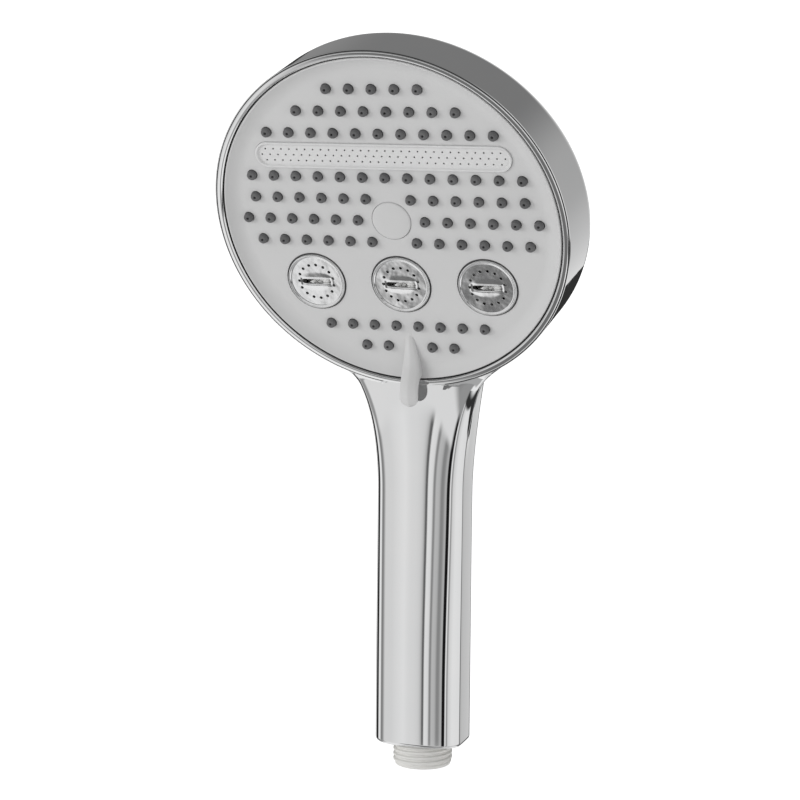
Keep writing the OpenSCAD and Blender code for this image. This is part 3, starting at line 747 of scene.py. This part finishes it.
def build_wheel(side):
    """The wheel behind a slot: a hub, a back disc and five curved blades with broad tops."""
    low, front = -10.2, JET_BACK - 0.12
    profile = [(0.72, low), (7.3, low), (7.3, low + 0.8), (1.9, low + 0.8), (1.9, front - 1.8),
               (1.6, front - 1.6), (0.72, front - 1.6)]
    wheel = lathe(f"turbine_wheel_{side}_bladed", profile, 64)
    for k in range(5):
        start = math.radians(72 * k - 8)
        rings = []
        for t in np.linspace(0, 1, 15):
            r = 0.9 + 6.2 * t
            bend = start + 0.12 * t
            out, across = np.array([math.cos(bend), math.sin(bend)]), np.array([-math.sin(bend), math.cos(bend)])
            top = front - 1.3 * (1 - smoothstep(t * 5)) - 0.9 * smoothstep((t - 0.5) * 6)
            right = [(0.5, low + 0.4), (0.6, top - 0.6), (0.75, top - 0.15), (0.5, top)]
            section = [(-0.5, low + 0.4), *right, *((-w, z) for w, z in right[:0:-1])]
            rings.append([(*(out * r + across * w), z) for w, z in section])
        carve(wheel, clean(mesh_object("blade", *tube(rings))), "UNION")
    wheel.data.transform(Matrix.Translation((JETS[side], JET_Y, 0)))
    place(wheel, f"turbine_wheel_{side}", "turbine_plastic", [f"turbine_{side}"], sharp=40)


for jet_side in JETS:
    build_jet(jet_side)
    build_wheel(jet_side)


def build_cap():
    """The thin cap over the pivot's screw."""
    top = -FIELD + 0.35
    profile = [(0, top - 1), (0, top), (3, top), (CAP_R - 0.55, top - 0.02), (CAP_R - 0.3, top - 0.08),
               (CAP_R - 0.1, top - 0.22), (CAP_R, top - 0.45), (CAP_R, -PLATE_BACK), (CAP_R - 0.8, -PLATE_BACK),
               (CAP_R - 0.8, top - 1)]
    place(lathe("centre_cap_disc", profile, 120), "spray_face", "face_plastic", ["centre_cap"], sharp=40)


build_cap()


# ---------------------------------------------------------------- inlet

def build_inlet():
    """The threaded end with a helical G 1/2 thread that runs out at its tip, the plug and the water tube."""
    crest, root, pitch, n = 10.4775, 9.3157, 1.814, 96
    cut = 0.62  # of the full thread's depth
    tip, top = 0.35, 8.35  # the rounded end, and where the thread runs out
    rings = []
    for z in np.arange(0, 9.61, 0.1):
        ring = []
        for i in range(n):
            a = 2 * math.pi * i / n
            wave = abs((z / pitch - i / n) % 1.0 - 0.5) * 2  # 0 at the crest, 1 at the root
            rise = smoothstep((0.86 - wave) / 0.58)
            rise *= min(1, max(0, (z - tip) / 1.5)) * min(1, max(0, (top - z) / 0.8))
            r = crest - (crest - root) * cut * (1 - rise) - tip * max(0, 1 - z / tip) ** 2
            ring.append((r * math.cos(a), r * math.sin(a), z))
        rings.append(ring)
    body = clean(mesh_object("inlet_and_tube", *tube(rings)))
    plug = prism("plug", hollow_outline(0.1), 9.5, 14)
    carve(body, plug, "UNION")
    carve(body, lathe("stem", [(0, 13.5), (7.5, 13.5), (7.5, 20), (5.5, 20), (5.5, 131), (0, 131)], 96), "UNION")
    mouth = filleted([(0, -1, 0), (7.6, -1, 0), (7.0, 0.35, 0.2), (7.0, 12.5, 0), (4, 12.5, 0), (4, 140, 0),
                      (0, 140, 0)], 4)
    carve(body, lathe("mouth", mouth, 96))
    for z in (124, 127.5):
        carve(body, lathe("groove", [(4.6, z - 0.6), (7, z - 0.6), (7, z + 0.6), (4.6, z + 0.6)], 96))
    place(body, "handset", "inlet_plastic", ["waterway"], in_face=False, sharp=38)


build_inlet()


# ---------------------------------------------------------------- CAD nodes that stay

for node_name, node_object in frame["nodes"].items():
    if not node_object.hide_render:
        dress(node_object, SLOTS[node_name])


def press_spring():
    """Gives the detent's spring a mesh of its own."""
    spring = bpy.data.objects["detent_spring"]
    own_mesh(spring)


press_spring()


# ---------------------------------------------------------------- floor, light and camera

ROLL = 0.443  # of the camera about its own axis, in degrees
KEY_POWER = 8.2  # of the soft light, in watts
FILL = 1.76  # how much brighter the studio is for the matt parts than in the chrome


def build_stage():
    """A pale floor well below the floating object. It glows a little, and the studio stands in for it in the chrome."""
    half, below = 6, -0.45
    corners = [(-half, -half, below), (half, -half, below), (half, half, below), (-half, half, below)]
    floor = mesh_object("floor", corners, [(0, 1, 2, 3)])
    mat, tree, bsdf = nodes_of("floor")
    tint = ramp(tree, noise(tree, 2, 2), [(0.3, 0.90), (0.7, 0.93)])
    tree.links.new(tint, bsdf.inputs["Base Color"])
    bsdf.inputs["Roughness"].default_value = 0.9
    bsdf.inputs["Emission Color"].default_value = (1, 1, 1, 1)
    bsdf.inputs["Emission Strength"].default_value = 0.75
    floor.data.materials.append(mat)
    floor.visible_glossy = floor.visible_diffuse = False


# Brightness of the studio round the object, by compass angle in degrees: 0 is in front of the spray side, 90 to its
# right. Dark entries are black flags and gaps between the white walls. WALLS is at the handle's level, UPPER above
# the horizon, and SIDE carries WALLS on past the right.
WALLS = [(-180, 0.70), (-152, 0.60), (-131, 0.62), (-124.5, 0.010), (-106.5, 0.010), (-101, 0.85), (-91, 0.80),
         (-84, 0.20), (-76, 0.26), (-67, 0.66), (-45, 0.67), (-25, 0.77), (-17, 0.64), (-14.2, 0.50), (-13.4, 0.12),
         (-11.2, 0.12), (-9.8, 0.78), (-4, 0.70), (-2, 0.22), (0, 0.26), (2.5, 0.50), (9, 0.46), (14, 0.24),
         (19, 0.25), (25, 0.44), (28.3, 0.40), (29.6, 0.008), (38.3, 0.008), (41.5, 0.98), (46.5, 0.22), (53, 0.66),
         (70, 0.78)]
UPPER = [(-180, 0.66), (-172, 0.86), (-166, 0.60), (-160, 0.24), (-130, 0.24), (-110, 0.40), (-60, 0.66), (0, 0.66),
         (60, 0.70), (76, 0.82), (125, 0.62), (142, 0.42), (150, 0.36), (163, 0.42), (170, 0.47), (180, 0.66)]
SIDE = [(110, 0.76), (122, 0.76), (130, 0.18), (148, 0.18), (152, 0.42), (165, 0.50), (172, 0.60), (180, 0.72)]
# Brightness of the ceiling, of the floor in front, at the left, low down and straight below, of the floor's near part
# at its left and right, of the dark strip, and of the background that the camera sees
CEILING, FRONT, LEFT, LOW, UNDER = 0.19, 0.72, 0.30, 0.85, 0.40
NEAR_LEFT, NEAR_RIGHT, STRIP, BACKGROUND = 0.15, 0.30, 0.03, 1.2


def feed(tree, socket, value):
    """Sets a socket to a number, or links another node's output to it."""
    if isinstance(value, (int, float)):
        socket.default_value = value
    else:
        tree.links.new(value, socket)


def math_node(tree, operation, *values):
    """The result of one sum on numbers or other nodes' outputs."""
    node = add(tree, "ShaderNodeMath", operation=operation)
    for socket, value in zip(node.inputs, values):
        feed(tree, socket, value)
    return node.outputs[0]


def soft_step(tree, value, low, high):
    """0 below low, 1 above high, smooth between; with low above high it falls instead."""
    node = add(tree, "ShaderNodeMapRange", interpolation_type="SMOOTHSTEP")
    if low > high:
        low, high = high, low
        node.inputs["To Min"].default_value, node.inputs["To Max"].default_value = 1.0, 0.0
    for name, x in (("Value", value), ("From Min", low), ("From Max", high)):
        feed(tree, node.inputs[name], x)
    return node.outputs["Result"]


def band(tree, value, start, full, hold, end):
    """1 between full and hold, 0 before start and after end, smooth between."""
    return math_node(tree, "MULTIPLY", soft_step(tree, value, start, full), soft_step(tree, value, end, hold))


def blend_values(tree, fac, a, b):
    """a where fac is 0, b where it is 1."""
    node = add(tree, "ShaderNodeMix", data_type="FLOAT")
    for socket, value in ((node.inputs[0], fac), (node.inputs[2], a), (node.inputs[3], b)):
        feed(tree, socket, value)
    return node.outputs[0]


def build_world():
    """A studio painted by direction: walls with flags round the horizon, a grey ceiling and a floor in parts.

    Compass and rise are the direction's angle round the object and above the horizon, in degrees.
    """
    world = bpy.data.worlds.new("studio")
    bpy.context.scene.world = world
    world.use_nodes = True
    tree = world.node_tree

    def times(*values):
        return math_node(tree, "MULTIPLY", *values)

    coords = add(tree, "ShaderNodeTexCoord")
    axes = add(tree, "ShaderNodeSeparateXYZ")
    tree.links.new(coords.outputs["Generated"], axes.inputs[0])
    x, y, z = axes.outputs
    compass = times(math_node(tree, "ARCTAN2", x, times(y, -1)), 180 / math.pi)
    rise = times(math_node(tree, "ARCSINE", z), 180 / math.pi)
    turn_share = math_node(tree, "ADD", times(compass, 1 / 360), 0.5)
    walls, upper, side = (ramp(tree, turn_share, [((a + 180) / 360, v) for a, v in stops])
                          for stops in (WALLS, UPPER, SIDE))
    light = blend_values(tree, soft_step(tree, compass, 76, 108), walls, side)
    light = blend_values(tree, soft_step(tree, rise, -6, 3), light, upper)
    light = blend_values(tree, soft_step(tree, rise, 12, 32), light, CEILING)
    # the pale floor begins below the walls in front and at the left
    front = times(band(tree, compass, -82, -66, 24, 34), soft_step(tree, rise, -14.5, -18))
    light = blend_values(tree, front, light, FRONT)
    left = times(band(tree, compass, -110, -90, -80, -70), soft_step(tree, rise, -16, -22))
    light = blend_values(tree, left, light, LEFT)
    # a dark strip low at the right, higher behind
    edge = blend_values(tree, soft_step(tree, compass, 170, 180), -17.0, -12.0)
    edge = blend_values(tree, soft_step(tree, compass, 110, 160), -21.0, edge)
    edge = blend_values(tree, soft_step(tree, compass, 98, 118), -35.0, edge)
    strip = times(soft_step(tree, math_node(tree, "SUBTRACT", rise, edge), 1.0, -1.5),
                  soft_step(tree, compass, 32, 40))
    # a dark corner at the left, behind, below a slanting edge
    edge = math_node(tree, "MULTIPLY_ADD", compass, 0.5, 83.0)
    corner = times(soft_step(tree, compass, -146, -150),
                   soft_step(tree, math_node(tree, "SUBTRACT", rise, edge), 0.8, -0.8))
    # both end above a lighter floor at the back
    low = times(soft_step(tree, compass, 138, 162), soft_step(tree, rise, -18, -25))
    strip = times(strip, math_node(tree, "SUBTRACT", 1, low))
    corner = times(corner, soft_step(tree, rise, -32, -24))
    light = blend_values(tree, math_node(tree, "MAXIMUM", strip, corner), light, STRIP)
    # below all that the floor is white, but shaded near the handle, and grey straight underneath
    light = blend_values(tree, soft_step(tree, rise, -40, -46), light, LOW)
    near = times(band(tree, compass, -34.6, -30.0, 36, 46), soft_step(tree, rise, -25, -30))
    shade = blend_values(tree, soft_step(tree, compass, -10, 15), NEAR_LEFT, NEAR_RIGHT)
    light = blend_values(tree, near, light, shade)
    light = blend_values(tree, soft_step(tree, rise, -60, -70), light, UNDER)
    path = add(tree, "ShaderNodeLightPath").outputs
    light = times(light, blend_values(tree, path["Is Diffuse Ray"], 1.0, FILL))
    light = blend_values(tree, path["Is Camera Ray"], light, BACKGROUND)
    tree.links.new(light, tree.nodes["Background"].inputs["Color"])


def build_key():
    """A large soft light at the left front, for the matt parts; it doesn't show in the chrome."""
    data = bpy.data.lights.new("key", "AREA")
    data.shape, data.size, data.energy = "DISK", 0.8, KEY_POWER
    key = bpy.data.objects.new("key", data)
    bpy.context.scene.collection.objects.link(key)
    aim = Vector((0, -0.037, 0.18))
    key.location = aim + 1.5 * Vector((-0.754, -0.633, 0.174))
    key.rotation_euler = (aim - key.location).to_track_quat("-Z", "Y").to_euler()
    key.visible_glossy = False


def build_camera():
    """Looks at the spray side from its right, a little from above."""
    data = bpy.data.cameras.new("camera")
    data.lens, data.sensor_width = 117.21, 36.0
    data.clip_start, data.clip_end = 0.05, 50
    camera = bpy.data.objects.new("camera", data)
    bpy.context.scene.collection.objects.link(camera)
    camera.location = (0.31353, -0.84781, 0.24634)
    aim = Vector((0.0, -0.025446, 0.133259)) - camera.location
    camera.rotation_euler = (aim.to_track_quat("-Z", "Y").to_matrix().to_4x4()
                             @ Matrix.Rotation(math.radians(ROLL), 4, "Z")).to_euler()
    bpy.context.scene.camera = camera


build_stage()
build_world()
build_key()
build_camera()
view = bpy.context.scene.view_settings
view.view_transform, view.look, view.exposure, view.gamma = "Standard", "None", 0.0, 1.0
